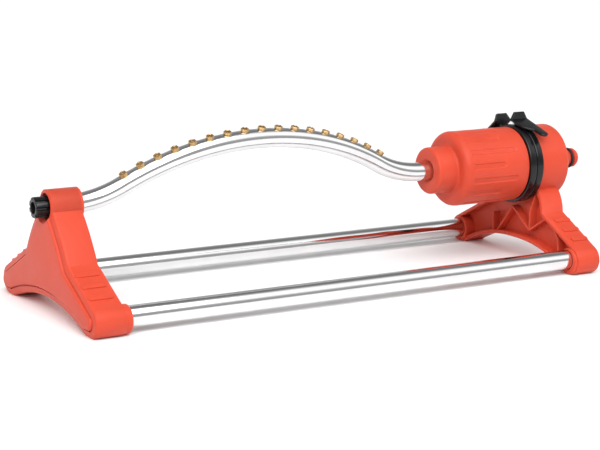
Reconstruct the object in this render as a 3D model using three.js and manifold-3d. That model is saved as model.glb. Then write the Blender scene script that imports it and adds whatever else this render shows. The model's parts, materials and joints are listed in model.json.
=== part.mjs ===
// An oscillating lawn sprinkler: two moulded end frames on two base tubes, an arched spray
// tube with a row of brass nozzles, and a water-driven drive housing that swings the tube.
// Millimetres, +X along the sprinkler towards the hose inlet, +Y to the back, +Z up.
// The origin is on the ground, under the middle of the overall length.
import * as THREE from 'three';
import { mergeVertices } from 'three/addons/utils/BufferGeometryUtils.js';
import Module from 'manifold-3d';

const wasm = await Module();
wasm.setup();

// ---------------------------------------------------------------- driving dimensions
const GAP = 0.3;

const BASE_TUBE_R = 8;
const BASE_TUBE_WALL = 1.2;
const BASE_TUBE_Y = 76;
const BASE_TUBE_Z = 12.3;
const SOCKET_DEPTH = 15.5;
const LEFT_SOCKET_X = -200.5;
const RIGHT_SOCKET_X = 194;

const AXIS_Z = 81.5;

const SPRAY_TUBE_R = 7.7;
const SPRAY_TUBE_WALL = 1;
const ARCH_X = -57;
const ARCH_RISE = 41.5;
const ARCH_R = 226;
const ARCH_END_R = 90;
const SPRAY_LEFT_X = -222;
const SPRAY_RIGHT_X = 128;
const SWUNG_DEG = 15.5;

const NOZZLES = 17;
const NOZZLE_PITCH_DEG = 3.61;
const NOZZLE_HEAD_R = 3.1;
const NOZZLE_HEAD_H = 1.8;
const NOZZLE_EDGE = 0.5;
const NOZZLE_STEM_R = 2;
const NOZZLE_HOLE_R = 2.5;
const NOZZLE_BORE_R = 0.8;

const FRAME_WALL = 3;
const LEFT_OUTER_X = -233;
const LEFT_BAND_X = -230;
const LEFT_FLOOR_X = -228.5;
const LEFT_INNER_X = -206.5;
const RIGHT_RIM_X = 196;
const RIGHT_WEB_X = [204.5, 207];
const RIGHT_OUTER_X = 218.5;
const BOSS_R = 12.8;
const BOSS_INNER_X = -205;
const BOSS_BORE_R = 9.8;
const BUSH_X = [-218, -210];
const RIB = 2;

const CUP_R = 31;
const CUP_FRONT_X = 202.2;
const CUP_REAR_X = 231;
const CUP_FILLET = 4;
const RING_R = 33;
const RING_CLEARANCE_R = 34.2;

const NECK_X = 106;
const NECK_R = 19.5;
const SHOULDER_X = 124.5;
const DOME_REAR_X = 188;
const DOME_R = 31;
const DOME_INNER_R = 28.5;
const FIT_R = DOME_INNER_R - GAP;

const JOURNAL_R = 24;
const JOURNAL_WALL = 1.5;
const JOURNAL_LEFT_X = 166.2;
const CARRIER_R = 28.6;
const CARRIER_INNER_R = 26.6;
const CARRIER_LEFT_X = 189.3;
const CARRIER_RIGHT_X = CUP_FRONT_X - GAP;
const FLANGE_X = 203.3;
const FLANGE_T = 2.7;

const PLATE_X = 146.3;
const PLATE_T = 2.5;
const SHAFT_R = 1.5;
const SHAFT_BORE_R = SHAFT_R + GAP;

// gear train, from the turbine pinion to the fixed ring gear
const GEAR_MODULE = 0.9;
const PINION_TEETH = 8;
const WHEEL_TEETH = 24;
const OUTPUT_MODULE = 1.1;
const OUTPUT_TEETH = 9;
const RING_TEETH = 36;
const CENTRE_SLACK = 0.2;
const WHEEL_LEVEL_X = [153, 157.5];
const SECOND_LEVEL_X = [159.5, 164];
const RING_GEAR_X = [166.6, 171.6];
const RING_GEAR_R = JOURNAL_R - JOURNAL_WALL - GAP;
const GEAR_1_ANGLE = Math.PI / 2;
const STAGE_CENTRES = GEAR_MODULE * (PINION_TEETH + WHEEL_TEETH) / 2 + CENTRE_SLACK;
const OUTPUT_CENTRES = OUTPUT_MODULE * (RING_TEETH - OUTPUT_TEETH) / 2 - CENTRE_SLACK;
const GEAR_2_ANGLE = GEAR_1_ANGLE + Math.acos(OUTPUT_CENTRES / (2 * STAGE_CENTRES));

const LEVER_Z = -26;
const LEVER_R = 1.1;

const RING_WIDTH = 6.4;
const RING_INNER_R = 28.9;
const RING_1_X = 188.4;
const RING_2_X = 195.2;

const SCREW_CIRCLE_R = 17;
const SCREW_ANGLES = [90, 210, 330];
const SCREW_SHANK_R = 1.5;
const SCREW_HEAD_R = 3;

const PLUG_END_X = -240;
const INLET_END_X = 259;
const MIDDLE_X = (PLUG_END_X + INLET_END_X) / 2;

// ---------------------------------------------------------------- materials
const finish = (color, roughness, metalness = 0) => () =>
  new THREE.MeshStandardMaterial({ color, roughness, metalness });
const redPlastic = finish(0xd8402f, 0.42);
const blackPlastic = finish(0x1d1d1f, 0.35);
const whitePlastic = finish(0xe8e6df, 0.5);
const rubber = finish(0x161616, 0.8);
const polishedTube = finish(0xd6d8db, 0.16, 1);
const brass = finish(0xc79a55, 0.3, 1);
const steel = finish(0xb9bcc0, 0.3, 1);

// ---------------------------------------------------------------- solids
// Merges a geometry's shared corners and turns its faces outwards.
function closed(geometry) {
  const bare = (geometry.index ? geometry.toNonIndexed() : geometry.clone());
  bare.deleteAttribute('normal');
  bare.deleteAttribute('uv');
  const merged = mergeVertices(bare, 1e-3);
  const triVerts = new Uint32Array(merged.index.array);
  const vertProperties = new Float32Array(merged.attributes.position.array);
  let solid = new wasm.Manifold(new wasm.Mesh({ numProp: 3, vertProperties, triVerts }));
  if (solid.volume() < 0) {
    for (let i = 0; i < triVerts.length; i += 3) {
      [triVerts[i], triVerts[i + 1]] = [triVerts[i + 1], triVerts[i]];
    }
    solid = new wasm.Manifold(new wasm.Mesh({ numProp: 3, vertProperties, triVerts }));
  }
  return solid;
}

function geometryOf(solid) {
  const mesh = solid.getMesh();
  const geometry = new THREE.BufferGeometry();
  geometry.setAttribute('position', new THREE.Float32BufferAttribute(mesh.vertProperties, 3));
  geometry.setIndex(new THREE.Uint32BufferAttribute(mesh.triVerts, 1));
  const faceted = geometry.toNonIndexed();
  faceted.computeVertexNormals();
  return faceted;
}

const join = (first, ...rest) => rest.reduce((sum, solid) => sum.add(solid), first);
const cut = (first, ...rest) => rest.reduce((left, solid) => left.subtract(solid), first);

// A closed profile of [x, radius] corners turned about the X direction, at y = 0 and z = 0.
function revolve(profile, segments = 32) {
  const points = profile.map(([x, r]) => new THREE.Vector2(r, x));
  points.push(points[0].clone());
  const geometry = new THREE.LatheGeometry(points, segments);
  geometry.rotateZ(-Math.PI / 2);
  return closed(geometry);
}

const ringX = (x0, x1, inner, outer, segments) =>
  revolve([[x0, inner], [x0, outer], [x1, outer], [x1, inner]], segments);

// A solid cylinder along X.
function rodX(x0, x1, radius, y = 0, z = 0, segments = 16) {
  const geometry = new THREE.CylinderGeometry(radius, radius, x1 - x0, segments);
  geometry.rotateZ(-Math.PI / 2);
  geometry.translate((x0 + x1) / 2, y, z);
  return closed(geometry);
}

function box(x0, x1, y0, y1, z0, z1) {
  const geometry = new THREE.BoxGeometry(x1 - x0, y1 - y0, z1 - z0);
  geometry.translate((x0 + x1) / 2, (y0 + y1) / 2, (z0 + z1) / 2);
  return closed(geometry);
}

// A YZ outline extruded along X.
const YZ_TO_WORLD = new THREE.Matrix4().makeBasis(
  new THREE.Vector3(0, 1, 0),
  new THREE.Vector3(0, 0, 1),
  new THREE.Vector3(1, 0, 0),
);
function prismX(outline, x0, x1, holes = []) {
  const shape = new THREE.Shape(outline);
  shape.holes = holes.map((hole) => new THREE.Path(hole));
  const geometry = new THREE.ExtrudeGeometry(shape, { depth: x1 - x0, bevelEnabled: false });
  geometry.translate(0, 0, x0);
  geometry.applyMatrix4(YZ_TO_WORLD);
  return closed(geometry);
}

// The same solid turned about the X direction through y = 0, z = 0, or moved.
const turnX = (solid, degrees) => solid.rotate([degrees, 0, 0]);
const moved = (solid, x, y, z) => solid.translate([x, y, z]);

const point = (y, z) => new THREE.Vector2(y, z);
const polar = (radius, angle, y = 0, z = 0) =>
  point(y + radius * Math.cos(angle), z + radius * Math.sin(angle));
const degrees = THREE.MathUtils.degToRad;

function arc(radius, from, to, steps, y = 0, z = 0) {
  const points = [];
  for (let i = 0; i <= steps; i++) {
    points.push(polar(radius, from + (to - from) * i / steps, y, z));
  }
  return points;
}

// An outline moved inwards by a distance, corner by corner (anticlockwise outlines).
function inset(outline, distance) {
  return outline.map((corner, i) => {
    const before = outline[(i + outline.length - 1) % outline.length];
    const after = outline[(i + 1) % outline.length];
    const inTo = corner.clone().sub(before).normalize();
    const outOf = after.clone().sub(corner).normalize();
    const normalIn = point(-inTo.y, inTo.x);
    const normalOut = point(-outOf.y, outOf.x);
    const scale = distance / (1 + normalIn.dot(normalOut));
    return corner.clone().addScaledVector(normalIn.add(normalOut), scale);
  });
}

// A solid through one outline at several x, each layer inset by its own distance.
function layered(outline, layers) {
  const positions = [];
  const rings = layers.map(([x, distance]) =>
    inset(outline, distance).map((p) => [x, p.x, p.y]));
  const count = outline.length;
  for (let k = 0; k + 1 < rings.length; k++) {
    for (let i = 0; i < count; i++) {
      const j = (i + 1) % count;
      positions.push(...rings[k][i], ...rings[k][j], ...rings[k + 1][j]);
      positions.push(...rings[k][i], ...rings[k + 1][j], ...rings[k + 1][i]);
    }
  }
  for (const [ring, flip] of [[rings[0], true], [rings[rings.length - 1], false]]) {
    const flat = ring.map(([, y, z]) => point(y, z));
    for (const [a, b, c] of THREE.ShapeUtils.triangulateShape(flat, [])) {
      positions.push(...ring[a], ...(flip ? ring[c] : ring[b]), ...(flip ? ring[b] : ring[c]));
    }
  }
  const geometry = new THREE.BufferGeometry();
  geometry.setAttribute('position', new THREE.Float32BufferAttribute(positions, 3));
  return closed(geometry);
}

// ---------------------------------------------------------------- end frames
// Both frames stand on two round feet, with sloping shoulders up to a kink and steeper flanks
// above it. The left one ends in a boss round the axis, the right one in a cup.
const FOOT = point(78, 11.5);
const FOOT_TANGENT = degrees(63.4);
const KINK = point(39.8, 44);
const FLANK_BULGE = 1.5;
const SOCKET = point(77.2, 11);
const SOCKET_R = 10.9;
const LEFT_ARCH = { height: 13, halfWidth: 69, power: 2 };
const RIGHT_ARCH = { height: 17.4, halfWidth: 72, power: 2.3 };
const CREASE = point(24, 61.3);
const HIDDEN_TOP = point(24, 70);

// A closed outline from the right foot over the top to the left foot and back underneath.
// `flankTop` ends the curved flanks, and `crown` holds the points from there to the middle.
// `arch` is the clear space underneath, between the feet.
function frameOutline(flankTop, crown, arch) {
  const middle = KINK.clone().add(flankTop).multiplyScalar(0.5);
  const out = flankTop.clone().sub(KINK).normalize();
  middle.add(point(out.y, -out.x).multiplyScalar(2 * FLANK_BULGE));
  const flank = new THREE.QuadraticBezierCurve(KINK, middle, flankTop).getPoints(4);
  const right = [
    ...arc(FOOT.y, -Math.PI / 2, FOOT_TANGENT, 8, FOOT.x, FOOT.y),
    ...flank,
    ...crown,
  ];
  const mirrored = right.filter((p) => p.x > 0).map((p) => point(-p.x, p.y)).reverse();
  const underside = [];
  for (let i = 0; i <= 14; i++) {
    const t = i / 7 - 1;
    underside.push(point(arch.halfWidth * t, arch.height * (1 - Math.abs(t) ** arch.power)));
  }
  return [...right, ...mirrored, ...underside];
}

const BOSS_FROM = degrees(-10);
const bossArc = arc(BOSS_R, BOSS_FROM, Math.PI / 2, 7, 0, AXIS_Z);
const bossCrown = [...bossArc.slice(1, -1), point(0, AXIS_Z + BOSS_R)];
const LEFT_OUTLINE = frameOutline(bossArc[0], bossCrown, LEFT_ARCH);
const RIGHT_OUTLINE = frameOutline(CREASE, [HIDDEN_TOP], RIGHT_ARCH);

// Stiffening ribs inside the frames: thin walls along lines through these points.
const LEFT_RIBS = [-1, 1].flatMap((side) => [
  [point(0, 47), point(side * 21, 24), point(side * 43, 42)],
  [point(side * 21, 58), point(side * 21, 10)],
  [point(side * 53, 36), point(side * 60, 2)],
]);
const RIGHT_RIBS = [
  [point(-43, 41), point(-20, 26.5), point(4, 43.3), point(22, 22), point(28, 15)],
  [point(-21, 56), point(-20, 26.5)],
  [point(-50, 37), point(-59, 25), point(-60, 12)],
  [point(31, 34), point(31, 12)],
];

function ribs(outline, lines, x0, x1) {
  const inside = prismX(inset(outline, FRAME_WALL / 2), x0, x1);
  const strips = lines.flatMap((line) => line.slice(1).map((end, i) => [line[i], end]));
  const walls = strips.map(([a, b]) => {
    const along = b.clone().sub(a).normalize();
    const side = point(-along.y, along.x).multiplyScalar(RIB / 2);
    const corners = [
      a.clone().add(side), b.clone().add(side), b.clone().sub(side), a.clone().sub(side),
    ];
    return prismX(corners, x0, x1);
  });
  return join(...walls).intersect(inside);
}

const bothSides = (make) => [make(1), make(-1)];
const socket = (x0, x1) =>
  bothSides((side) => rodX(x0, x1, SOCKET_R, side * SOCKET.x, SOCKET.y, 28));
const tubeBore = (x0, x1) =>
  bothSides((side) => rodX(x0, x1, BASE_TUBE_R + GAP, side * BASE_TUBE_Y, BASE_TUBE_Z, 24));

function leftFrame() {
  const body = layered(LEFT_OUTLINE, [
    [LEFT_INNER_X, 0],
    [LEFT_BAND_X + 3, 0],
    [LEFT_BAND_X + 0.8, 1.2],
    [LEFT_BAND_X, 3.3],
    [LEFT_OUTER_X, 5.9],
  ]);
  const hollow = prismX(inset(LEFT_OUTLINE, FRAME_WALL), LEFT_FLOOR_X, LEFT_INNER_X + 1);
  const boss = rodX(LEFT_FLOOR_X - 1, BOSS_INNER_X, BOSS_R, 0, AXIS_Z, 28);
  const shell = cut(body, hollow);
  const inner = ribs(LEFT_OUTLINE, LEFT_RIBS, LEFT_FLOOR_X - 1, LEFT_INNER_X - 2);
  const whole = join(shell, inner, boss, ...socket(LEFT_FLOOR_X - 1, LEFT_SOCKET_X));
  const bores = tubeBore(LEFT_SOCKET_X - SOCKET_DEPTH - GAP, LEFT_SOCKET_X + 1);
  return cut(whole, ...bores, rodX(-240, -190, BOSS_BORE_R, 0, AXIS_Z, 32));
}

// Above the kink the right frame leans outwards, from the plane of its rim to the cup.
const LEAN = (CUP_FRONT_X - RIGHT_RIM_X) / (CREASE.y - KINK.y);
const LEANING = [1, 0, 0, 0, 0, 1, 0, 0, LEAN, 0, 1, 0, -LEAN * KINK.y, 0, 0, 1];
function leaned(solid) {
  const below = solid.intersect(box(150, 260, -100, 100, -1, KINK.y));
  const above = solid.intersect(box(150, 260, -100, 100, KINK.y, 120));
  return join(below, above.transform(LEANING));
}

function rightFrame() {
  const body = layered(RIGHT_OUTLINE, [
    [RIGHT_RIM_X, 0],
    [RIGHT_OUTER_X - 2, 0],
    [RIGHT_OUTER_X, 2],
  ]);
  const opening = inset(RIGHT_OUTLINE, FRAME_WALL);
  const frontHollow = prismX(opening, RIGHT_RIM_X - 1, RIGHT_WEB_X[0]);
  const rearHollow = prismX(opening, RIGHT_WEB_X[1], RIGHT_OUTER_X + 1);
  const inner = ribs(RIGHT_OUTLINE, RIGHT_RIBS, RIGHT_RIM_X + 1.5, RIGHT_OUTER_X - 3);
  const cup = moved(revolve([
    [CUP_FRONT_X, 0.01],
    [CUP_FRONT_X, CUP_R],
    [CUP_REAR_X - CUP_FILLET, CUP_R],
    [CUP_REAR_X - 1.2, CUP_R - 1.2],
    [CUP_REAR_X, CUP_R - CUP_FILLET],
    [CUP_REAR_X, 0.01],
  ]), 0, 0, AXIS_Z);
  const cavity = rodX(RIGHT_SOCKET_X - 20, CUP_REAR_X - 3, DOME_INNER_R, 0, AXIS_Z, 32);
  const clearance = rodX(RIGHT_SOCKET_X - 20, CUP_FRONT_X, RING_CLEARANCE_R, 0, AXIS_Z, 32);
  const screwLine = (x0, x1, radius) => SCREW_ANGLES.map((angle) => {
    const p = polar(SCREW_CIRCLE_R, degrees(angle), 0, AXIS_Z);
    return rodX(x0, x1, radius, p.x, p.y, 8);
  });
  const posts = screwLine(FLANGE_X + FLANGE_T + GAP, CUP_REAR_X - 1, 3.8);
  const pilots = screwLine(FLANGE_X, FLANGE_X + 16, SCREW_SHANK_R + GAP);
  const sides = leaned(join(cut(body, frontHollow, rearHollow), inner));
  const shell = join(sides, ...socket(RIGHT_SOCKET_X, RIGHT_OUTER_X - 1.5));
  const opened = cut(join(cut(shell, clearance), cup), cavity);
  const bores = tubeBore(RIGHT_SOCKET_X - 1, RIGHT_SOCKET_X + SOCKET_DEPTH + GAP);
  const connectorHole = rodX(CUP_REAR_X - 5, CUP_REAR_X + 1, 8.3, 0, AXIS_Z, 24);
  return cut(join(opened, ...posts), ...pilots, ...bores, connectorHole);
}

function baseTube(y) {
  const left = LEFT_SOCKET_X - SOCKET_DEPTH;
  const right = RIGHT_SOCKET_X + SOCKET_DEPTH;
  const tube = ringX(left, right, BASE_TUBE_R - BASE_TUBE_WALL, BASE_TUBE_R, 24);
  return moved(tube, 0, y, BASE_TUBE_Z);
}

// ---------------------------------------------------------------- spray tube and nozzles
const ARCH_HALF_ANGLE = Math.acos(1 - ARCH_RISE / (ARCH_R + ARCH_END_R));
const ARCH_HALF_SPAN = (ARCH_R + ARCH_END_R) * Math.sin(ARCH_HALF_ANGLE);
const ARCH_CENTRE_Z = ARCH_RISE - ARCH_R;

// The centre line: straight ends, a small reverse bend at each end, one large arc between.
class SprayTubeLine extends THREE.Curve {
  constructor() {
    super();
    this.left = ARCH_X - ARCH_HALF_SPAN - SPRAY_LEFT_X;
    this.bend = ARCH_END_R * ARCH_HALF_ANGLE;
    this.main = 2 * ARCH_R * ARCH_HALF_ANGLE;
    this.right = SPRAY_RIGHT_X - ARCH_X - ARCH_HALF_SPAN;
    this.total = this.left + this.main + 2 * this.bend + this.right;
  }

  getPoint(t, target = new THREE.Vector3()) {
    let s = t * this.total;
    if (s < this.left) {
      return target.set(SPRAY_LEFT_X + s, 0, 0);
    }
    s -= this.left;
    if (s < this.bend) {
      const a = s / ARCH_END_R;
      const x = ARCH_X - ARCH_HALF_SPAN + ARCH_END_R * Math.sin(a);
      return target.set(x, 0, ARCH_END_R * (1 - Math.cos(a)));
    }
    s -= this.bend;
    if (s < this.main) {
      const a = s / ARCH_R - ARCH_HALF_ANGLE;
      return target.set(ARCH_X + ARCH_R * Math.sin(a), 0, ARCH_CENTRE_Z + ARCH_R * Math.cos(a));
    }
    s -= this.main;
    if (s < this.bend) {
      const a = ARCH_HALF_ANGLE - s / ARCH_END_R;
      const x = ARCH_X + ARCH_HALF_SPAN - ARCH_END_R * Math.sin(a);
      return target.set(x, 0, ARCH_END_R * (1 - Math.cos(a)));
    }
    s -= this.bend;
    return target.set(ARCH_X + ARCH_HALF_SPAN + s, 0, 0);
  }
}

// Moves a solid made upright at the origin to the nozzle place of one index, from the crown.
function atNozzle(solid, index) {
  const angle = degrees(index * NOZZLE_PITCH_DEG);
  const x = ARCH_X + ARCH_R * Math.sin(angle);
  const z = ARCH_CENTRE_Z + ARCH_R * Math.cos(angle);
  return moved(solid.rotate([0, index * NOZZLE_PITCH_DEG, 0]), x, 0, z);
}

const nozzleIndexes = Array.from({ length: NOZZLES }, (_, i) => i - (NOZZLES - 1) / 2);

function sprayTube() {
  const section = new THREE.Shape();
  section.absarc(0, 0, SPRAY_TUBE_R, 0, 2 * Math.PI);
  const bore = new THREE.Path();
  bore.absarc(0, 0, SPRAY_TUBE_R - SPRAY_TUBE_WALL, 0, 2 * Math.PI);
  section.holes.push(bore);
  const geometry = new THREE.ExtrudeGeometry(section, {
    steps: 42,
    curveSegments: 6,
    extrudePath: new SprayTubeLine(),
  });
  const holes = nozzleIndexes.map((index) => {
    const hole = new THREE.CylinderGeometry(NOZZLE_HOLE_R, NOZZLE_HOLE_R, 8, 8);
    hole.rotateX(Math.PI / 2);
    hole.translate(0, 0, 8);
    return atNozzle(closed(hole), index);
  });
  return cut(closed(geometry), ...holes);
}

function nozzle(index) {
  const foot = SPRAY_TUBE_R + GAP;
  const top = foot + NOZZLE_HEAD_H;
  const profile = [
    [foot - 3, NOZZLE_BORE_R],
    [foot - 3, NOZZLE_STEM_R],
    [foot, NOZZLE_STEM_R],
    [foot, NOZZLE_HEAD_R],
    [top - NOZZLE_EDGE, NOZZLE_HEAD_R],
    [top, NOZZLE_HEAD_R - NOZZLE_EDGE],
    [top, NOZZLE_BORE_R],
  ];
  return atNozzle(revolve(profile, 6).rotate([0, -90, 0]), index);
}

// ---------------------------------------------------------------- left end: bush and plug
const PLUG_HEAD_X = SPRAY_LEFT_X - 0.4;
const PLUG_STEM_R = SPRAY_TUBE_R - SPRAY_TUBE_WALL - 0.5;
const PLUG_STEM_X = -207;

const leftBush = () => ringX(...BUSH_X, SPRAY_TUBE_R + GAP, BOSS_BORE_R - GAP, 20);

function endPlug() {
  const lobes = [];
  for (let i = 0; i < 32; i++) {
    const inNotch = i % 4 === 0;
    lobes.push(polar(inNotch ? 7.2 : 8, 2 * Math.PI * i / 32));
  }
  const head = prismX(lobes, PLUG_END_X, PLUG_HEAD_X);
  const stem = rodX(PLUG_HEAD_X - 1, PLUG_STEM_X, PLUG_STEM_R, 0, 0, 20);
  const groove = ringX(-217.4, -214.6, 5.2, 9, 20);
  const hole = rodX(PLUG_END_X - 1, PLUG_END_X + 9, 4.2, 0, 0, 16);
  const pinHole = rodX(-210, PLUG_STEM_X + 1, 1, 0, 0, 8);
  return cut(join(head, stem), groove, hole, pinHole);
}

const roundRing = (x, middleR, thickness, segments = 18) => {
  const profile = arc(thickness / 2, 0, -2 * Math.PI * 7 / 8, 7, x, middleR);
  return revolve(profile.map((p) => [p.x, p.y]), segments);
};

const endPlugSeal = () => ringX(-217.1, -214.9, 5.5, PLUG_STEM_R + 0.2, 20);
const cleaningPin = () => rodX(-209.7, -188, 0.7, 0, 0, 8);

// ---------------------------------------------------------------- drive housing
function driveHousing() {
  return revolve([
    [NECK_X, 9.5],
    [NECK_X, NECK_R - 0.8],
    [NECK_X + 0.8, NECK_R],
    [SHOULDER_X, NECK_R],
    [SHOULDER_X + 0.7, 26.4],
    [SHOULDER_X + 2.4, 29.4],
    [SHOULDER_X + 5.6, DOME_R],
    [DOME_REAR_X, DOME_R],
    [DOME_REAR_X, DOME_INNER_R],
    [PLATE_X - 0.3, DOME_INNER_R],
    [PLATE_X - 0.3, DOME_INNER_R - 2.5],
    [132, DOME_INNER_R - 2.5],
    [129, 23.5],
    [129, 16.8],
    [112, 16.8],
    [112, 11],
    [129, 11],
    [129, SPRAY_TUBE_R + GAP],
    [111.3, SPRAY_TUBE_R + GAP],
    [111.3, 9.5],
  ]);
}

const tubeSeal = () => ringX(108, 111, SPRAY_TUBE_R + GAP, 9.2, 20);

// The plate that carries the gear pins and holds the two jets that drive the turbine.
function jetPlate() {
  const right = PLATE_X + PLATE_T;
  const plate = rodX(PLATE_X, right, FIT_R, 0, 0, 32);
  const bearing = rodX(PLATE_X - 2, right + 2, 4, 0, 0, 16);
  const jets = [-3.5, 3.5].map((y) => rodX(PLATE_X - 1, right + 1, 1.5, y, -11, 8));
  const pins = gearPlaces().map((p) => rodX(PLATE_X - 1, right + 1, SHAFT_BORE_R, p.x, p.y, 12));
  const leverHole = rodX(PLATE_X - 1, right + 1, LEVER_R + GAP, 0, LEVER_Z, 8);
  const axleHole = rodX(PLATE_X - 3, right + 3, SHAFT_BORE_R, 0, 0, 12);
  return cut(join(plate, bearing), ...jets, ...pins, leverHole, axleHole);
}

// ---------------------------------------------------------------- gears
// A toothed outline with straight flanks; `phase` is where the middle of a tooth lies.
// A negative `side` gives the teeth of an internal gear, which point inwards.
function toothOutline(teeth, module, phase, side = 1) {
  const pitchR = module * teeth / 2;
  const tipR = pitchR + side * 0.75 * module;
  const rootR = pitchR - side * 1.15 * module;
  const halfTooth = 0.18 * Math.PI * module / pitchR;
  const points = [];
  for (let i = 0; i < teeth; i++) {
    const middle = phase + 2 * Math.PI * i / teeth;
    points.push(polar(rootR, middle - 1.5 * halfTooth));
    points.push(polar(tipR, middle - 0.5 * halfTooth));
    points.push(polar(tipR, middle + 0.5 * halfTooth));
    points.push(polar(rootR, middle + 1.5 * halfTooth));
  }
  return points;
}

function gearPlaces() {
  return [polar(STAGE_CENTRES, GEAR_1_ANGLE), polar(OUTPUT_CENTRES, GEAR_2_ANGLE)];
}

// The phases make a tooth of one gear stand opposite a gap of the next, at rest.
const halfPitch = (teeth) => Math.PI / teeth;
function gearBetween(from, to) {
  const line = to.clone().sub(from);
  return Math.atan2(line.y, line.x);
}

function turbinePinion() {
  const outline = toothOutline(PINION_TEETH, GEAR_MODULE, GEAR_1_ANGLE);
  return cut(prismX(outline, ...WHEEL_LEVEL_X), rodX(150, 160, SHAFT_BORE_R, 0, 0, 10));
}

function reductionGear1() {
  const [first, second] = gearPlaces();
  const towards = gearBetween(first, second);
  const facing = GEAR_1_ANGLE + Math.PI + halfPitch(WHEEL_TEETH);
  const wheel = prismX(toothOutline(WHEEL_TEETH, GEAR_MODULE, facing), ...WHEEL_LEVEL_X);
  const pinionX = [WHEEL_LEVEL_X[1] - 0.5, SECOND_LEVEL_X[1]];
  const pinion = prismX(toothOutline(PINION_TEETH, GEAR_MODULE, towards), ...pinionX);
  const gear = cut(join(wheel, pinion), rodX(150, 170, SHAFT_BORE_R, 0, 0, 10));
  return moved(gear, 0, first.x, first.y);
}

function reductionGear2() {
  const [first, second] = gearPlaces();
  const facing = gearBetween(second, first) + halfPitch(WHEEL_TEETH);
  const wheel = prismX(toothOutline(WHEEL_TEETH, GEAR_MODULE, facing), ...SECOND_LEVEL_X);
  const pinionX = [SECOND_LEVEL_X[1] - 0.5, RING_GEAR_X[1]];
  const pinion = prismX(toothOutline(OUTPUT_TEETH, OUTPUT_MODULE, GEAR_2_ANGLE), ...pinionX);
  const gear = cut(join(wheel, pinion), rodX(150, 180, SHAFT_BORE_R, 0, 0, 10));
  return moved(gear, 0, second.x, second.y);
}

function ringGear() {
  const phase = GEAR_2_ANGLE + halfPitch(RING_TEETH);
  const teeth = toothOutline(RING_TEETH, OUTPUT_MODULE, phase, -1);
  return cut(rodX(...RING_GEAR_X, RING_GEAR_R, 0, 0, 36), prismX(teeth, 160, 180));
}

const gearPin = (index, endX) => {
  const place = gearPlaces()[index];
  return rodX(PLATE_X + 0.3, endX, SHAFT_R, place.x, place.y, 12);
};

function turbineWheel() {
  const hub = rodX(132.6, 143.8, 4, 0, 0, 12);
  const disc = rodX(142.2, 143.8, 16, 0, 0, 24);
  const blades = [];
  for (let i = 0; i < 10; i++) {
    blades.push(turnX(box(133, 142.6, 3, 15.6, -0.6, 0.6), 36 * i));
  }
  return cut(join(hub, disc, ...blades), rodX(130, 146, SHAFT_BORE_R, 0, 0, 10));
}

const turbineAxle = () => rodX(131, 158.5, SHAFT_R, 0, 0, 12);

// ---------------------------------------------------------------- fixed journal and bearing
function journalSleeve() {
  const inner = JOURNAL_R - JOURNAL_WALL;
  const flangeEnd = FLANGE_X + FLANGE_T;
  const sleeve = revolve([
    [JOURNAL_LEFT_X, inner],
    [JOURNAL_LEFT_X, JOURNAL_R],
    [FLANGE_X, JOURNAL_R],
    [FLANGE_X, CARRIER_INNER_R],
    [CARRIER_LEFT_X, CARRIER_INNER_R],
    [CARRIER_LEFT_X, CARRIER_R],
    [CARRIER_RIGHT_X, CARRIER_R],
    [CARRIER_RIGHT_X, FIT_R],
    [flangeEnd, FIT_R],
    [flangeEnd, 8],
    [FLANGE_X, 8],
    [FLANGE_X, inner],
  ]);
  const windowArc = arc(40, degrees(195), degrees(345), 10);
  const window = prismX([point(0, 0), ...windowArc], CARRIER_LEFT_X - 1, CARRIER_RIGHT_X);
  const windowOnly = cut(window, rodX(180, 210, (JOURNAL_R + CARRIER_INNER_R) / 2, 0, 0, 32));
  const screwHoles = SCREW_ANGLES.map((angle) => {
    const p = polar(SCREW_CIRCLE_R, degrees(angle));
    return rodX(FLANGE_X - 1, flangeEnd + 1, SCREW_SHANK_R + GAP, p.x, p.y, 8);
  });
  return cut(sleeve, windowOnly, ...screwHoles);
}

const leverSlot = () => rodX(170, 190, LEVER_R + GAP, 0, LEVER_Z, 10);
const bearingPlate = () => cut(ringX(181, 185, JOURNAL_R + GAP, FIT_R), leverSlot());
const journalSeal = () => cut(ringX(177.6, 180.7, JOURNAL_R + GAP, FIT_R), leverSlot());

function sleeveScrew(angle) {
  const p = polar(SCREW_CIRCLE_R, degrees(angle));
  const screw = revolve([
    [FLANGE_X - 2.5, 0.9],
    [FLANGE_X - 2.5, SCREW_HEAD_R],
    [FLANGE_X - GAP, SCREW_HEAD_R],
    [FLANGE_X - GAP, SCREW_SHANK_R],
    [FLANGE_X + 12, SCREW_SHANK_R],
    [FLANGE_X + 14, 0.01],
    [FLANGE_X - 1.2, 0.01],
    [FLANGE_X - 1.2, 0.9],
  ], 8);
  return moved(screw, 0, p.x, p.y);
}

// A shaft with a trip finger at its right end and a flap over the jets at its left end.
function reversingLever() {
  const flapX = PLATE_X + PLATE_T + 0.6;
  const shaft = rodX(PLATE_X + 0.3, 200.5, LEVER_R, 0, LEVER_Z, 8);
  const arm = box(flapX, flapX + 1.8, -1.8, 1.8, LEVER_Z, -11);
  const flap = box(flapX, flapX + 1.8, -3.4, 3.4, -14, -8);
  const finger = box(190, 200.5, -1.1, 1.1, LEVER_Z - 1.1, LEVER_Z + 1.4);
  return join(shaft, arm, flap, finger);
}

// ---------------------------------------------------------------- range limiter rings
const FIN_FOOT_R = 32;
const FIN_FLARE_R = RING_R + 0.7;
const FIN_BASE_R = 37;
const FIN_TOP_R = 43.3;
const FIN_BASE_HALF = 8.4;
const FIN_TOP_HALF = 4.8;
const FIN_T = 2.4;
const WING_TOP_R = 37.8;
const WING_T = 2.2;
const WING_SLOPE = 17;
const WING_WIDE_Y = 9;
const TONGUE_WIDTH = 7.8;
const TONGUE_Y = 29.6;
const LUG_ANGLE = 15;
const BACK_RING_TILT = -21.3;

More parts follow.
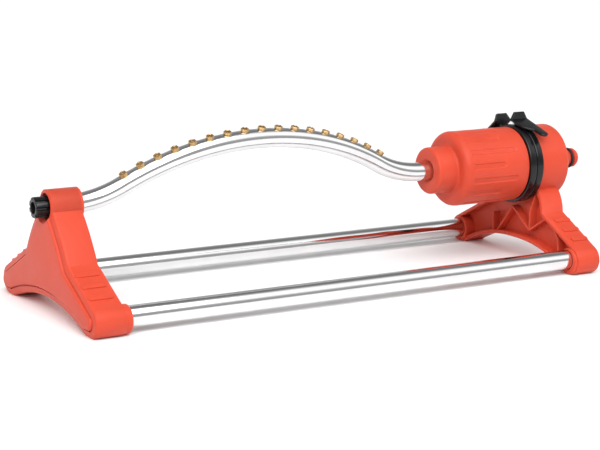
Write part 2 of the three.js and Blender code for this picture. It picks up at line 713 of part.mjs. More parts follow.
// A ring with a finger tab: an upright fin, and a wing that narrows to a tongue at one side.
// The front ring is the back one turned half round about the upright.
function limitRing(x0, facing, tilt) {
  const half = RING_WIDTH / 2;
  const ring = ringX(-half, half, RING_INNER_R, RING_R, 36);
  const tongueR = TONGUE_WIDTH / 2;
  const outline = new THREE.Shape();
  outline.moveTo(-FIN_BASE_HALF, 0);
  outline.lineTo(FIN_BASE_HALF, 0);
  outline.lineTo(FIN_BASE_HALF, WING_WIDE_Y);
  outline.quadraticCurveTo(FIN_BASE_HALF - 1, 18, TONGUE_WIDTH - FIN_BASE_HALF, 22);
  outline.absarc(tongueR - FIN_BASE_HALF, TONGUE_Y, tongueR, 0, Math.PI);
  const plate = new THREE.ExtrudeGeometry(outline, {
    depth: WING_T,
    bevelEnabled: false,
    curveSegments: 5,
  });
  const wing = moved(closed(plate).rotate([-WING_SLOPE, 0, 0]), 0, 0, WING_TOP_R - WING_T);
  const finOutline = [
    [FIN_FOOT_R, half],
    [FIN_FLARE_R, half],
    [FIN_BASE_R, FIN_BASE_HALF],
    [FIN_TOP_R, FIN_TOP_HALF],
    [FIN_TOP_R, -FIN_TOP_HALF],
    [FIN_BASE_R, -FIN_BASE_HALF],
    [FIN_FLARE_R, -half],
    [FIN_FOOT_R, -half],
  ];
  const finPlate = new THREE.ExtrudeGeometry(
    new THREE.Shape(finOutline.map(([r, x]) => new THREE.Vector2(x, r))),
    { depth: FIN_T, bevelEnabled: false },
  );
  finPlate.rotateX(Math.PI / 2);
  finPlate.translate(0, FIN_T / 2, 0);
  const lug = turnX(box(-half, half, -2, 2, -RING_R + 2, -27.6), LUG_ANGLE);
  const whole = join(ring, wing, closed(finPlate), lug);
  return moved(turnX(whole.rotate([0, 0, facing]), tilt), x0 + half, 0, 0);
}

// ---------------------------------------------------------------- hose inlet
function inletConnector() {
  return revolve([
    [223.5, 5],
    [223.5, 12],
    [227.6, 12],
    [227.6, 7.9],
    [238, 7.9],
    [238.8, 6.4],
    [242.4, 6.4],
    [243.4, 7.8],
    [249.6, 7.8],
    [249.6, 6.6],
    [254, 6.6],
    [254, 8.1],
    [256.6, 8.1],
    [258.4, 7.3],
    [INLET_END_X, 6.2],
    [INLET_END_X, 5],
  ], 18);
}

const inletSeal = () => roundRing(251.8, 7.85, 1.9);

function filterScreen() {
  const disc = rodX(223, 224.4, 4.7, 0, 0, 16);
  const holes = [rodX(222, 225, 1, 0, 0, 6)];
  for (let i = 0; i < 6; i++) {
    const p = polar(2.9, i * Math.PI / 3);
    holes.push(rodX(222, 225, 1, p.x, p.y, 6));
  }
  return cut(disc, ...holes);
}

// ---------------------------------------------------------------- assembly
const sprinkler = new THREE.Group();
sprinkler.position.x = -MIDDLE_X;
const onAxis = new THREE.Group();
onAxis.position.z = AXIS_Z;
sprinkler.add(onAxis);

// The spray tube rests part of the way through its swing.
const swung = new THREE.Group();
swung.rotation.x = degrees(SWUNG_DEG);
onAxis.add(swung);

function place(parent, name, solid, material) {
  const mesh = new THREE.Mesh(geometryOf(solid), material());
  mesh.name = name;
  parent.add(mesh);
}

place(sprinkler, 'left_frame', leftFrame(), redPlastic);
place(sprinkler, 'right_frame', rightFrame(), redPlastic);
place(sprinkler, 'base_tube_front', baseTube(-BASE_TUBE_Y), polishedTube);
place(sprinkler, 'base_tube_back', baseTube(BASE_TUBE_Y), polishedTube);

place(onAxis, 'left_bush', leftBush(), whitePlastic);
place(swung, 'spray_tube', sprayTube(), polishedTube);
nozzleIndexes.forEach((index, i) => {
  place(swung, `nozzle_${String(i + 1).padStart(2, '0')}`, nozzle(index), brass);
});
place(onAxis, 'end_plug', endPlug(), blackPlastic);
place(onAxis, 'end_plug_seal', endPlugSeal(), rubber);
place(onAxis, 'cleaning_pin', cleaningPin(), steel);

place(onAxis, 'drive_housing', driveHousing(), redPlastic);
place(onAxis, 'tube_seal', tubeSeal(), rubber);
place(onAxis, 'jet_plate', jetPlate(), blackPlastic);
place(onAxis, 'turbine_wheel', turbineWheel(), whitePlastic);
place(onAxis, 'turbine_axle', turbineAxle(), steel);
place(onAxis, 'turbine_pinion', turbinePinion(), whitePlastic);
place(onAxis, 'gear_pin_1', gearPin(0, 165.4), steel);
place(onAxis, 'gear_pin_2', gearPin(1, 173), steel);
place(onAxis, 'reduction_gear_1', reductionGear1(), whitePlastic);
place(onAxis, 'reduction_gear_2', reductionGear2(), whitePlastic);
place(onAxis, 'ring_gear', ringGear(), whitePlastic);
place(onAxis, 'journal_sleeve', journalSleeve(), blackPlastic);
place(onAxis, 'bearing_plate', bearingPlate(), blackPlastic);
place(onAxis, 'journal_seal', journalSeal(), rubber);
place(onAxis, 'reversing_lever', reversingLever(), blackPlastic);
SCREW_ANGLES.forEach((angle, i) => {
  place(onAxis, `sleeve_screw_${i + 1}`, sleeveScrew(angle), steel);
});

place(onAxis, 'limit_ring_front', limitRing(RING_2_X, 180, 0), blackPlastic);
place(onAxis, 'limit_ring_back', limitRing(RING_1_X, 0, BACK_RING_TILT), blackPlastic);

place(onAxis, 'inlet_connector', inletConnector(), redPlastic);
place(onAxis, 'inlet_seal', inletSeal(), rubber);
place(onAxis, 'filter_screen', filterScreen(), steel);

export default sprinkler;
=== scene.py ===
"""The looks of an oscillating lawn sprinkler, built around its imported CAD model.

Shapes are worked out in millimetres in the shared frame (+X towards the hose inlet, +Z up)
and become metres when a piece is finished. Most places come from the boxes of the CAD nodes.
"""

import json
import math

import bmesh
import bpy
import numpy as np
from mathutils import Matrix, Vector


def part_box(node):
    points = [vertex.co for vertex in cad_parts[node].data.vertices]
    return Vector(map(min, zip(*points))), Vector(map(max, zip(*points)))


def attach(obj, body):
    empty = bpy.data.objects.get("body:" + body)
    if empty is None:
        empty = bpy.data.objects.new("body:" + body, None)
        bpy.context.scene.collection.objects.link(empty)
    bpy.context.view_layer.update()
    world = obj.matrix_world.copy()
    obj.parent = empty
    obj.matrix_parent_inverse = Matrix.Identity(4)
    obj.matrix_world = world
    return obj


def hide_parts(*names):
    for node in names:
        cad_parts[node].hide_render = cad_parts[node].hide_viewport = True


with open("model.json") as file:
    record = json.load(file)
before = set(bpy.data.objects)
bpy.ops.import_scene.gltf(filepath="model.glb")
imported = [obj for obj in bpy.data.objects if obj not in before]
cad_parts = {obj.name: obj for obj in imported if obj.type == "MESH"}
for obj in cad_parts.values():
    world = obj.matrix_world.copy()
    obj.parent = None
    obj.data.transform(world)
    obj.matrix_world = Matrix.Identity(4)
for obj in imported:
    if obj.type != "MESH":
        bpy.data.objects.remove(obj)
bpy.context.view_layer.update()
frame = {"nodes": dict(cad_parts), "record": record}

MM = 0.001
PI = math.pi
# In millimetres: points this close become one, and edges this short go.
SAME_PLACE = 1e-4
NO_LENGTH = 1e-5


class Span:
    """The box of a CAD node in millimetres."""

    def __init__(self, node):
        low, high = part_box(node)
        self.x0, self.y0, self.z0 = (v / MM for v in low)
        self.x1, self.y1, self.z1 = (v / MM for v in high)


LEFT = Span("left_frame")
RIGHT = Span("right_frame")
FRONT_TUBE = Span("base_tube_front")
SPRAY = Span("spray_tube")
HOUSING = Span("drive_housing")
INLET = Span("inlet_connector")
SEAL = Span("inlet_seal")
PLUG = Span("end_plug")
CROWN_NOZZLE = Span("nozzle_09")
JOINTS = {joint["name"]: joint for joint in frame["record"]["behaviour"]["joints"]}
AXIS_Z = JOINTS["spray_swing"]["pos_m"][2] / MM

# ---------------------------------------------------------------- outlines


def polar(radius, angle, y=0.0, z=0.0):
    return (y + radius * math.cos(angle), z + radius * math.sin(angle))


def arc(radius, start, end, steps, y=0.0, z=0.0):
    return [polar(radius, start + (end - start) * i / steps, y, z) for i in range(steps + 1)]


def rounded(corners, steps=6):
    """A closed line through corners (a, b, radius), each rounded to its radius."""
    points = []
    count = len(corners)
    for i, (a, b, radius) in enumerate(corners):
        here = np.array((a, b), float)
        if radius == 0:
            points.append(tuple(here))
            continue
        before = np.array(corners[i - 1][:2], float) - here
        after = np.array(corners[(i + 1) % count][:2], float) - here
        before /= np.linalg.norm(before)
        after /= np.linalg.norm(after)
        half = math.acos(np.clip(before @ after, -1, 1)) / 2
        middle = before + after
        centre = here + middle / np.linalg.norm(middle) * radius / math.sin(half)
        reach = radius / math.tan(half)
        start = here + before * reach - centre
        end = here + after * reach - centre
        turn = math.atan2(start[0] * end[1] - start[1] * end[0], start @ end)
        first = math.atan2(start[1], start[0])
        points += [polar(radius, first + turn * k / steps, *centre) for k in range(steps + 1)]
    return points


def inset(outline, distance):
    """An anticlockwise closed outline moved inwards, corner by corner."""
    points = np.array(outline, float)
    into = points - np.roll(points, 1, axis=0)
    into /= np.linalg.norm(into, axis=1)[:, None]
    out = np.roll(into, -1, axis=0)
    normal = np.stack([-(into[:, 1] + out[:, 1]), into[:, 0] + out[:, 0]], axis=1)
    scale = distance / (1 + (into * out).sum(axis=1))
    return points + normal * scale[:, None]


def curve(start, bend, end, steps):
    """Points from start to end on a quadratic curve that is pulled towards `bend`."""
    start, bend, end = (np.array(point, float) for point in (start, bend, end))
    points = []
    for i in range(steps + 1):
        t = i / steps
        points.append(tuple((1 - t) ** 2 * start + 2 * t * (1 - t) * bend + t * t * end))
    return points


def round_over(radius, steps):
    """Distances from the two faces of a rounded edge, from (radius, 0) round to (0, radius)."""
    angles = [PI / 2 * i / steps for i in range(steps + 1)]
    return [(radius * (1 - math.sin(a)), radius * (1 - math.cos(a))) for a in angles]


def rectangle(a0, a1, b0, b1, low_radius, high_radius, steps=6):
    """A closed line round a box, with one corner radius at b0 and another at b1."""
    return rounded([
        (a0, b0, low_radius),
        (a1, b0, low_radius),
        (a1, b1, high_radius),
        (a0, b1, high_radius),
    ], steps)


def smooth_step(t):
    """From 0 to 1 while t does, with a soft start and end."""
    t = min(1.0, max(0.0, t))
    return t * t * (3 - 2 * t)


# ---------------------------------------------------------------- meshes


def new_mesh(name, vertices, faces):
    mesh = bpy.data.meshes.new(name)
    mesh.from_pydata([tuple(v) for v in vertices], [], faces)
    work = bmesh.new()
    work.from_mesh(mesh)
    bmesh.ops.remove_doubles(work, verts=work.verts, dist=SAME_PLACE)
    bmesh.ops.dissolve_degenerate(work, edges=work.edges, dist=NO_LENGTH)
    bmesh.ops.recalc_face_normals(work, faces=work.faces)
    work.to_mesh(mesh)
    work.free()
    thing = bpy.data.objects.new(name, mesh)
    bpy.context.scene.collection.objects.link(thing)
    return thing


def rings_to_mesh(name, rings, capped=True):
    """Skins a list of closed rings with the same number of points."""
    count = len(rings[0])
    vertices = [tuple(p) for ring in rings for p in ring]
    faces = []
    for k in range(len(rings) - 1):
        for i in range(count):
            j = (i + 1) % count
            low, high = k * count, (k + 1) * count
            faces.append((low + i, low + j, high + j, high + i))
    if capped:
        faces.append(tuple(reversed(range(count))))
        faces.append(tuple(range((len(rings) - 1) * count, len(rings) * count)))
    return new_mesh(name, vertices, faces)


def loft_x(name, outline, layers):
    """A closed solid: one YZ outline at several x, each inset by its own distance."""
    rings = [[(x, y, z) for y, z in inset(outline, d)] for x, d in layers]
    return rings_to_mesh(name, rings)


def lathe(name, profile, segments, y=0.0, z=AXIS_Z):
    """A closed profile of (x, radius) points turned about a line along X."""
    rings = []
    for i in range(segments):
        angle = 2 * PI * i / segments
        c, s = math.cos(angle), math.sin(angle)
        rings.append([(x, y + r * c, z + r * s) for x, r in profile])
    rings.append(rings[0])
    return rings_to_mesh(name, rings, capped=False)


def rod(name, x0, x1, radius, segments, y=0.0, z=AXIS_Z):
    """A plain cylinder along X, used to join and cut."""
    circle = arc(radius, 0, 2 * PI, segments, y, z)[:-1]
    return loft_x(name, circle, [(x0, 0), (x1, 0)])


def plate(name, outline, thickness, edge, to_world):
    """A flat plate with rounded edges: an XY outline, z from 0 to thickness, then placed."""
    layers = round_over(edge, 4)
    rings = [[(x, y, h) for x, y in inset(outline, d)] for d, h in layers]
    top = [[(x, y, thickness - h) for x, y in inset(outline, d)] for d, h in layers]
    thing = rings_to_mesh(name, rings + top[::-1])
    thing.data.transform(to_world)
    return thing


def combine(target, tools, operation):
    """Joins or cuts the target with closed solids, and removes them."""
    for tool in tools:
        modifier = target.modifiers.new(operation, "BOOLEAN")
        modifier.operation = operation
        modifier.solver = "MANIFOLD"
        modifier.object = tool
        graph = bpy.context.evaluated_depsgraph_get()
        result = bpy.data.meshes.new_from_object(target.evaluated_get(graph))
        target.modifiers.clear()
        target.data = result
        bpy.data.objects.remove(tool)


def join(target, *tools):
    combine(target, tools, "UNION")


def cut(target, *tools):
    combine(target, tools, "DIFFERENCE")


def as_piece(thing, body, node, slot, sharp_degrees=32):
    """Turns a shape in millimetres into the visible piece that stands for a CAD node."""
    thing.data.transform(Matrix.Scale(MM, 4))
    thing.data.shade_smooth()
    thing.data.set_sharp_from_angle(angle=math.radians(sharp_degrees))
    thing.data.materials.clear()
    thing.data.materials.append(BY_SLOT[slot])
    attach(thing, body)
    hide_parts(node)


# ---------------------------------------------------------------- materials


def grey(value):
    return (value, value, value)


def fill_ramp(node, stops):
    """Gives a colour ramp its stops, (position, colour)."""
    elements = node.color_ramp.elements
    while len(elements) < len(stops):
        elements.new(0.5)
    for element, (position, colour) in zip(elements, stops):
        element.position = position
        element.color = (*colour, 1)


class Nodes:
    """A short way to write a material's node tree."""

    def __init__(self, name):
        self.material = bpy.data.materials.new(name)
        self.material.use_nodes = True
        self.tree = self.material.node_tree
        self.shader = self.tree.nodes["Principled BSDF"]
        self.place = self.add("ShaderNodeTexCoord").outputs["Object"]

    def add(self, kind, **inputs):
        node = self.tree.nodes.new(kind)
        for name, value in inputs.items():
            node.inputs[name].default_value = value
        return node

    def link(self, output, target):
        self.tree.links.new(output, target)

    def feed(self, name, output):
        self.link(output, self.shader.inputs[name])

    def set(self, **values):
        for key, value in values.items():
            self.shader.inputs[key.replace("_", " ")].default_value = value

    def stretched(self, scale):
        """Places scaled along each axis, which draws a pattern out where the scale is small."""
        mapping = self.add("ShaderNodeMapping", Scale=scale)
        self.link(self.place, mapping.inputs["Vector"])
        return mapping.outputs["Vector"]

    def noise(self, scale, detail, roughness, vector=None):
        node = self.add("ShaderNodeTexNoise", Scale=scale, Detail=detail, Roughness=roughness)
        self.link(vector or self.place, node.inputs["Vector"])
        return node.outputs["Fac"]

    def ramp(self, factor, *stops):
        node = self.add("ShaderNodeValToRGB")
        fill_ramp(node, stops)
        self.link(factor, node.inputs["Fac"])
        return node.outputs["Color"]

    def bump(self, height, strength, distance, after=None):
        node = self.add("ShaderNodeBump", Strength=strength, Distance=distance)
        self.link(height, node.inputs["Height"])
        if after is not None:
            self.link(after, node.inputs["Normal"])
        return node.outputs["Normal"]


# Noises as (scale per metre, detail, roughness), and heights of bumps in metres.
FLOW = (22, 4, 0.55)
SMUDGES = (60, 5, 0.6)
GRAIN = (2600, 2, 0.5)
WAVES = (35, 2, 0.4)
DRAWN_LINES = (900, 3, 0.6)
HAZE = (45, 4, 0.6)
TINT = (350, 4, 0.6)
TOOL_MARKS = (6000, 2, 0.5)
FLOOR_TONE = (3, 2, 0.5)
GRAIN_HEIGHT = 0.00004
WAVE_HEIGHT = 0.0004
MARK_HEIGHT = 0.00002
ALONG_X = (0.03, 1, 1)


def moulded_plastic(name, colour, variation, roughness, spread, grain, waviness, **settings):
    """Moulded plastic: fine grain, a faint flow pattern and a gloss that is not quite even."""
    n = Nodes(name)
    dark = tuple(c * (1 - variation) for c in colour)
    light = tuple(min(1.0, c * (1 + variation)) for c in colour)
    n.feed("Base Color", n.ramp(n.noise(*FLOW), (0.3, dark), (0.7, light)))
    glossy, dull = grey(roughness - spread), grey(roughness + spread)
    n.feed("Roughness", n.ramp(n.noise(*SMUDGES), (0.3, glossy), (0.75, dull)))
    fine = n.bump(n.noise(*GRAIN), grain, GRAIN_HEIGHT)
    n.feed("Normal", n.bump(n.noise(*WAVES), waviness, WAVE_HEIGHT, after=fine))
    n.set(IOR=1.5, **settings)
    return n.material


def drawn_tube(name, dark, light):
    """Drawn tube, polished bright, with faint lines along it."""
    n = Nodes(name)
    lines = n.noise(*DRAWN_LINES, vector=n.stretched(ALONG_X))
    n.feed("Base Color", n.ramp(n.noise(*HAZE), (0.25, dark), (0.75, light)))
    n.feed("Roughness", n.ramp(lines, (0.3, grey(0.09)), (0.8, grey(0.13))))
    n.feed("Normal", n.bump(lines, 0.05, MARK_HEIGHT))
    n.set(Metallic=1.0)
    return n.material


def turned_metal(name, dark, light, roughness):
    """Turned metal: fine tool marks and a slightly uneven tint."""
    n = Nodes(name)
    marks = n.noise(*TOOL_MARKS)
    n.feed("Base Color", n.ramp(n.noise(*TINT), (0.3, dark), (0.7, light)))
    glossy, dull = grey(roughness - 0.05), grey(roughness + 0.06)
    n.feed("Roughness", n.ramp(marks, (0.3, glossy), (0.7, dull)))
    n.feed("Normal", n.bump(marks, 0.25, MARK_HEIGHT))
    n.set(Metallic=1.0)
    return n.material


BY_SLOT = {
    "red_plastic": moulded_plastic(
        "red_moulded",
        colour=(0.55, 0.060, 0.029),
        variation=0.05,
        roughness=0.42,
        spread=0.04,
        grain=0.35,
        waviness=0.10,
        Subsurface_Weight=0.2,
        Subsurface_Radius=(0.006, 0.0008, 0.0004),
        Subsurface_Scale=1.0,
        Specular_IOR_Level=0.2,
    ),
    "black_plastic": moulded_plastic(
        "black_moulded",
        colour=(0.005, 0.005, 0.006),
        variation=0.2,
        roughness=0.22,
        spread=0.05,
        grain=0.3,
        waviness=0.15,
        Specular_IOR_Level=0.34,
    ),
    "white_plastic": moulded_plastic(
        "natural_acetal",
        colour=(0.80, 0.79, 0.74),
        variation=0.03,
        roughness=0.42,
        spread=0.04,
        grain=0.2,
        waviness=0.1,
    ),
    "rubber": moulded_plastic(
        "seal_rubber",
        colour=(0.012, 0.012, 0.013),
        variation=0.25,
        roughness=0.62,
        spread=0.08,
        grain=0.5,
        waviness=0.1,
    ),
    "polished_tube": drawn_tube(
        "polished_tube",
        dark=(0.72, 0.72, 0.725),
        light=(0.79, 0.79, 0.795),
    ),
    "brass": turned_metal(
        "turned_brass",
        dark=(0.52, 0.34, 0.15),
        light=(0.68, 0.47, 0.24),
        roughness=0.33,
    ),
    "steel": turned_metal(
        "stainless_steel",
        dark=(0.52, 0.52, 0.53),
        light=(0.68, 0.68, 0.69),
        roughness=0.28,
    ),
}
for part in frame["record"]["subparts"]:
    mesh = frame["nodes"][part["node"]].data
    mesh.materials.clear()
    mesh.materials.append(BY_SLOT[part["material_slot"]])

# ---------------------------------------------------------------- end frames: what they share
BOTH_SIDES = (1, -1)
WALL = 3.0
FOOT_R = LEFT.z0 + 11.5
FOOT_Y = LEFT.y1 - FOOT_R
SHOULDER_ANGLE = math.radians(63.4)
FLANK_BULGE = 1.5
# (y, z) where the shoulder meets the flank.
KINK = (39.8, 44.0)
# Height, half width and power of the arch underneath.
LEFT_ARCH = (13.0, 69.0, 2.0)
RIGHT_ARCH = (17.4, 72.0, 2.3)

TUBE_R = (FRONT_TUBE.z1 - FRONT_TUBE.z0) / 2
TUBE_Y = (FRONT_TUBE.y1 - FRONT_TUBE.y0) / 2 - FRONT_TUBE.y1
TUBE_Z = FRONT_TUBE.z1 - TUBE_R
TUBE_GAP = 0.3
SOCKET_R = 10.9
SOCKET_Y = FOOT_Y - 0.8
SOCKET_Z = 11.0
SOCKET_DEPTH = 15.8
SOCKET_EDGE = 1.9


def frame_outline(flank_top, crown, arch):
    """From under one foot, over the shoulder and flank to the top, mirrored, then underneath."""
    kink, top = np.array(KINK), np.array(flank_top)
    along = (top - kink) / np.linalg.norm(top - kink)
    bend = (kink + top) / 2 + np.array((along[1], -along[0])) * 2 * FLANK_BULGE
    foot = arc(FOOT_R, -PI / 2, SHOULDER_ANGLE, 28, FOOT_Y, FOOT_R)
    right = foot + curve(kink, bend, top, 16) + crown
    left = [(-y, z) for y, z in reversed(right) if y > 0]
    height, half_width, power = arch
    half_steps = 30
    under = []
    for i in range(2 * half_steps + 1):
        t = i / half_steps - 1
        under.append((half_width * t, height * (1 - abs(t) ** power)))
    return right + left + under


def sockets(x0, x1, outward):
    """The round sockets of the base tubes, from inside the frame to x1; `outward` is 1 or -1."""
    for side in BOTH_SIDES:
        circle = arc(SOCKET_R, -PI / 2, 3 * PI / 2, 72, side * SOCKET_Y, SOCKET_Z)[:-1]
        mouth = [(x1 - outward * back, d) for back, d in round_over(SOCKET_EDGE, 8)]
        yield loft_x("socket", circle, [(x0, 0)] + mouth)


def tube_bores(x0, x1):
    for side in BOTH_SIDES:
        yield rod("bore", x0, x1, TUBE_R + TUBE_GAP, 72, side * TUBE_Y, TUBE_Z)


# Stiffening ribs: thin walls along lines through these (y, z) points.
RIB_T = 1.8
RIB_EDGE = 0.35
LEFT_RIBS = [
    [(-43, 42), (-21, 24), (0, 47), (21, 24), (43, 42)],
    [(-21, 58), (-21, 10)],
    [(21, 58), (21, 10)],
    [(-53, 36), (-60, 2)],
    [(53, 36), (60, 2)],
]
RIGHT_RIBS = [
    [(-43, 41), (-20, 26.5), (4, 43.3), (22, 22), (28, 15)],
    [(-21, 56), (-20, 26.5)],
    [(-50, 37), (-59, 25), (-60, 12)],
    [(31, 34), (31, 12)],
]


def ribs(outline, lines, x0, x1):
    """Thin walls across the hollow, trimmed to stay inside the frame's own wall."""
    beyond = 5
    for line in lines:
        for start, end in zip(line, line[1:]):
            a, b = np.array(start, float), np.array(end, float)
            along = (b - a) / np.linalg.norm(b - a)
            across = np.array((-along[1], along[0])) * RIB_T / 2
            strip = [tuple(a + across), tuple(a - across), tuple(b - across), tuple(b + across)]
            wall = loft_x("rib", strip, [(x0, RIB_EDGE), (x0 + RIB_EDGE, 0), (x1, 0)])
            inside = inset(outline, WALL / 2)
            room = loft_x("room", inside, [(x0 - beyond, 0), (x1 + beyond, 0)])
            combine(wall, [room], "INTERSECT")
            yield wall


GRIP_COUNT = 3
GRIP_PITCH = 13.0
GRIP_FIRST = 10.5
GRIP_WIDTH = 4.6
GRIP_CORNER = 1.6
GRIP_HEIGHT = 0.8
GRIP_SUNK = 1.6
GRIP_EDGE = 0.3


def grip_bars(x_edge, x_end):
    """Raised bars across each shoulder, from near the frame's outer edge inwards."""
    slope = PI / 2 - SHOULDER_ANGLE
    half = GRIP_WIDTH / 2
    bar = rectangle(0, abs(x_end - x_edge), -half, half, GRIP_CORNER, GRIP_CORNER, 5)
    for side in BOTH_SIDES:
        for k in range(GRIP_COUNT):
            down = GRIP_FIRST + k * GRIP_PITCH
            y = side * (KINK[0] + down * math.cos(slope))
            z = KINK[1] - down * math.sin(slope)
            corner = Matrix.Translation((min(x_edge, x_end), y, z))
            sloping = Matrix.Rotation(-side * slope, 4, "X")
            sunk = Matrix.Translation((0, 0, -GRIP_SUNK))
            place = corner @ sloping @ sunk
            yield plate("grip", bar, GRIP_SUNK + GRIP_HEIGHT, GRIP_EDGE, place)


# ---------------------------------------------------------------- left frame
BOSS_R = 12.8
BOSS_START = math.radians(-10)
BOSS_END = LEFT.x1 - 4.5
BORE_R = 9.8
CORE_R = 1.0
LEFT_FLOOR = LEFT.x0 + 4.5
LEFT_RIM = LEFT.x1 - 6
BAND_START = LEFT.x0 + 2.5
BAND_EDGE = 2.3
LEFT_GRIPS = (LEFT.x0 + 4.2, LEFT.x0 + 23)

# (x from the rim, distance in from the outline): out of the hollow and over the wall's edge.
LEFT_LIP = [(-0.5, WALL), (0.0, WALL - 0.5), (0.0, 0.5), (-0.2, 0.15), (-0.5, 0.0)]

# (x from the outer face, distance in from the outline): band, groove, raised panel.
OUTER_FACE = [
    (2.15, 4.3),
    (1.9, 5.0),
    (2.1, 5.2),
    (3.2, 5.3),
    (3.2, 6.0),
    (1.4, 6.15),
    (0.75, 6.4),
    (0.3, 6.95),
    (0.08, 7.6),
    (0.0, 8.4),
]


def left_frame():
    boss = arc(BOSS_R, BOSS_START, PI / 2, 26, 0, AXIS_Z)
    outline = frame_outline(boss[0], boss[1:], LEFT_ARCH)
    layers = [(LEFT_FLOOR, WALL)]
    layers += [(LEFT_RIM + x, distance) for x, distance in LEFT_LIP]
    layers += [(BAND_START + back, distance) for back, distance in round_over(BAND_EDGE, 8)]
    layers += [(LEFT.x0 + x, distance) for x, distance in OUTER_FACE]
    shell = loft_x("left_end_frame", outline, layers)
    join(shell, *ribs(outline, LEFT_RIBS, LEFT_FLOOR - 1, LEFT_RIM - 2))
    join(shell, rod("boss", LEFT_FLOOR - 1, BOSS_END, BOSS_R - 0.02, 96))
    join(shell, *sockets(LEFT_FLOOR - 1, LEFT.x1, 1))
    join(shell, *grip_bars(*LEFT_GRIPS))
    cut(shell, *tube_bores(LEFT.x1 - SOCKET_DEPTH, LEFT.x1 + 1))
    # A turned tool keeps clear of its own axis, so a thin rod cuts what it leaves.
    recess = rounded([
        (LEFT.x0 - 2, CORE_R / 2, 0),
        (BOSS_END + 2, CORE_R / 2, 0),
        (BOSS_END + 2, BORE_R, 0),
        (LEFT.x0 + 3.2, BORE_R, 0.6),
        (LEFT.x0 - 2, BORE_R + 4.2, 0),
    ])
    cut(shell, lathe("recess", recess, 96))
    cut(shell, rod("core", LEFT.x0 - 3, BOSS_END + 3, CORE_R, 24))
    as_piece(shell, "base", "left_frame", "red_plastic")


# ---------------------------------------------------------------- right frame
CUP_R = 31.0
CUP_INNER_R = 28.5
CUP_HOLE_R = 8.3
CUP_FRONT = RIGHT.x0 + 8.2
CUP_REAR = RIGHT.x1
RING_ROOM_R = 34.2
RIGHT_RIM = RIGHT.x0 + 2
WEB_FRONT = RIGHT.x0 + 10.5
WEB_REAR = RIGHT.x0 + 13.0
LEG_OUTER = RIGHT.x0 + 24.5
LEG_EDGE = 1.6
RIGHT_GRIPS = (LEG_OUTER - 1.3, LEG_OUTER - 17)
# (y, z) where the flank meets the cup, and where the outline ends inside the cup.
CREASE = (24.0, 61.3)
INSIDE_CUP = (24.0, 70.0)
LEAN = (CUP_FRONT - RIGHT_RIM) / (CREASE[1] - KINK[1])

# (x from the rim, distance in from the outline) over the wall's edge and into the hollow.
RIGHT_LIP = [(0.0, 0.6), (0.2, 0.2), (0.6, 0.0)]
HOLLOW_MOUTH = [(-1.0, WALL - 0.5), (0.05, WALL - 0.5), (0.5, WALL)]


def lean(thing):
    """Above the kink the legs lean towards the cup."""
    work = bmesh.new()
    work.from_mesh(thing.data)
    everything = work.verts[:] + work.edges[:] + work.faces[:]
    bmesh.ops.bisect_plane(work, geom=everything, plane_co=(0, 0, KINK[1]), plane_no=(0, 0, 1))
    for vertex in work.verts:
        vertex.co.x += LEAN * max(0.0, vertex.co.z - KINK[1])
    work.to_mesh(thing.data)
    work.free()


def right_frame():
    outline = frame_outline(CREASE, [INSIDE_CUP], RIGHT_ARCH)
    layers = [(RIGHT_RIM + x, distance) for x, distance in RIGHT_LIP]
    layers += [(LEG_OUTER - back, distance) for back, distance in round_over(LEG_EDGE, 5)]
    shell = loft_x("right_end_frame", outline, layers)
    mouth = [(RIGHT_RIM + x, distance) for x, distance in HOLLOW_MOUTH]
    cut(shell, loft_x("front_hollow", outline, mouth + [(WEB_FRONT, WALL)]))
    cut(shell, loft_x("rear_hollow", outline, [(WEB_REAR, WALL), (LEG_OUTER + 1, WALL)]))
    join(shell, *ribs(outline, RIGHT_RIBS, RIGHT_RIM + 1.5, LEG_OUTER - 3))
    lean(shell)
    join(shell, *sockets(LEG_OUTER - 1.5, RIGHT.x0, -1))
    join(shell, *grip_bars(*RIGHT_GRIPS))
    cut(shell, rod("ring_room", RIGHT_RIM - 20, CUP_FRONT, RING_ROOM_R, 128))
    cut(shell, rod("cup_room", CUP_FRONT - 1, CUP_REAR - 2, CUP_R - 1, 128))
    cup = rounded([
        (CUP_FRONT, CUP_INNER_R, 0.3),
        (CUP_REAR - WALL, CUP_INNER_R, 1.5),
        (CUP_REAR - WALL, CUP_HOLE_R, 0),
        (CUP_REAR, CUP_HOLE_R, 0.4),
        (CUP_REAR, CUP_R, 4.5),
        (CUP_FRONT, CUP_R, 0.4),
    ], 8)
    join(shell, lathe("cup", cup, 160))
    cut(shell, *tube_bores(RIGHT.x0 - 1, RIGHT.x0 + SOCKET_DEPTH))
    as_piece(shell, "base", "right_frame", "red_plastic")


# ---------------------------------------------------------------- tubes
TUBE_WALL = 1.2


def base_tube(side, node):
    profile = rectangle(FRONT_TUBE.x0, FRONT_TUBE.x1, TUBE_R - TUBE_WALL, TUBE_R, 0.3, 0.4, 3)
    tube = lathe(node + "_polished", profile, 96, side * TUBE_Y, TUBE_Z)
    as_piece(tube, "base", node, "polished_tube")


SPRAY_R = 7.7
SPRAY_WALL = 1.0
SPRAY_SEGMENTS = 64
SWUNG = math.radians(15.5)
ARCH_R = 226.0
ARCH_END_R = 90.0
ARCH_X = (CROWN_NOZZLE.x0 + CROWN_NOZZLE.x1) / 2
ARCH_RISE = 41.5
ARCH_HALF = math.acos(1 - ARCH_RISE / (ARCH_R + ARCH_END_R))
ARCH_SPAN = (ARCH_R + ARCH_END_R) * math.sin(ARCH_HALF)
NOZZLE_PITCH = math.radians(3.61)
NOZZLE_PLACES = range(-8, 9)
SEAT_DEPTH = 0.75
SEAT_HALF = 6.2
STRAIGHT_STEPS = 5
BEND_STEPS = 16
ARCH_STEPS = 17 * 14


def swing(thing):
    """Turns a piece made upright about the spray axis, to where the spray tube rests."""
    to_axis = Matrix.Translation((0, 0, AXIS_Z))
    thing.data.transform(to_axis @ Matrix.Rotation(SWUNG, 4, "X") @ to_axis.inverted())


